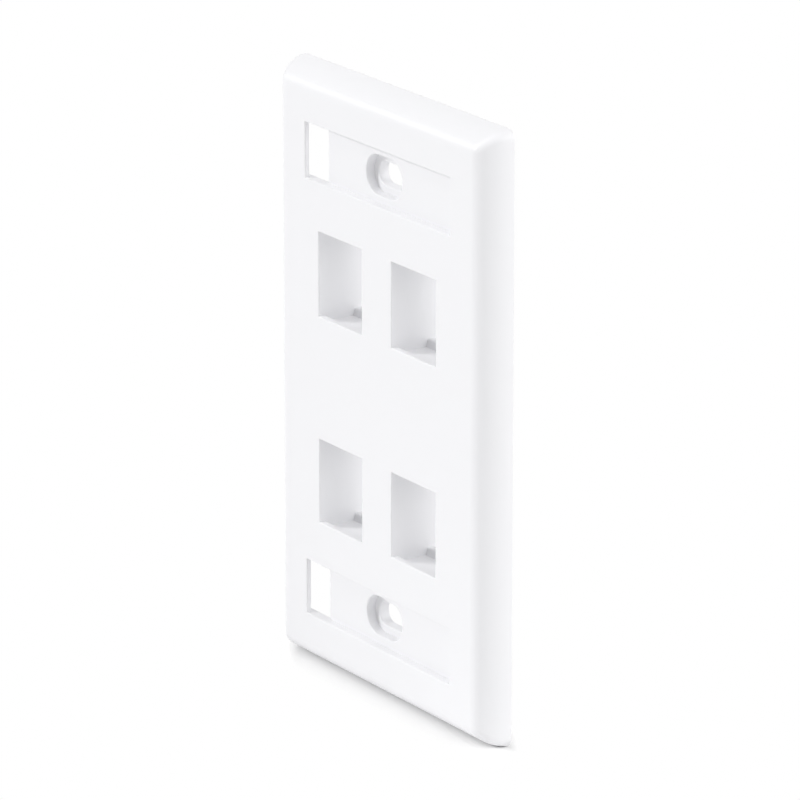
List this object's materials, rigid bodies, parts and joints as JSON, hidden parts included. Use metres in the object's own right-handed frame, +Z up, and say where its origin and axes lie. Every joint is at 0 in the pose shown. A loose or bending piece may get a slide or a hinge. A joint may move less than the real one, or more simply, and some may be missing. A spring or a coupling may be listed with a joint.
{
  "type": "keystone faceplate",
  "caption": "Rectangular wall plate with sides that curve in to its front face, square keystone openings, and label recesses at the top and bottom that hold oblong screw wells.",
  "frame": {"origin": "centre of the wall plane, which the rim's back face lies in; it is midway between the two screw holes", "axes": "+Z up, +Y into the wall, +X to the right seen from the room"},
  "size_m": [0.0698, 0.0098, 0.1142],
  "materials": {
    "white_plastic": "satin white moulded ABS"
  },
  "bodies": {
    "root": {"faceplate": "white_plastic"}
  },
  "joints": []
}
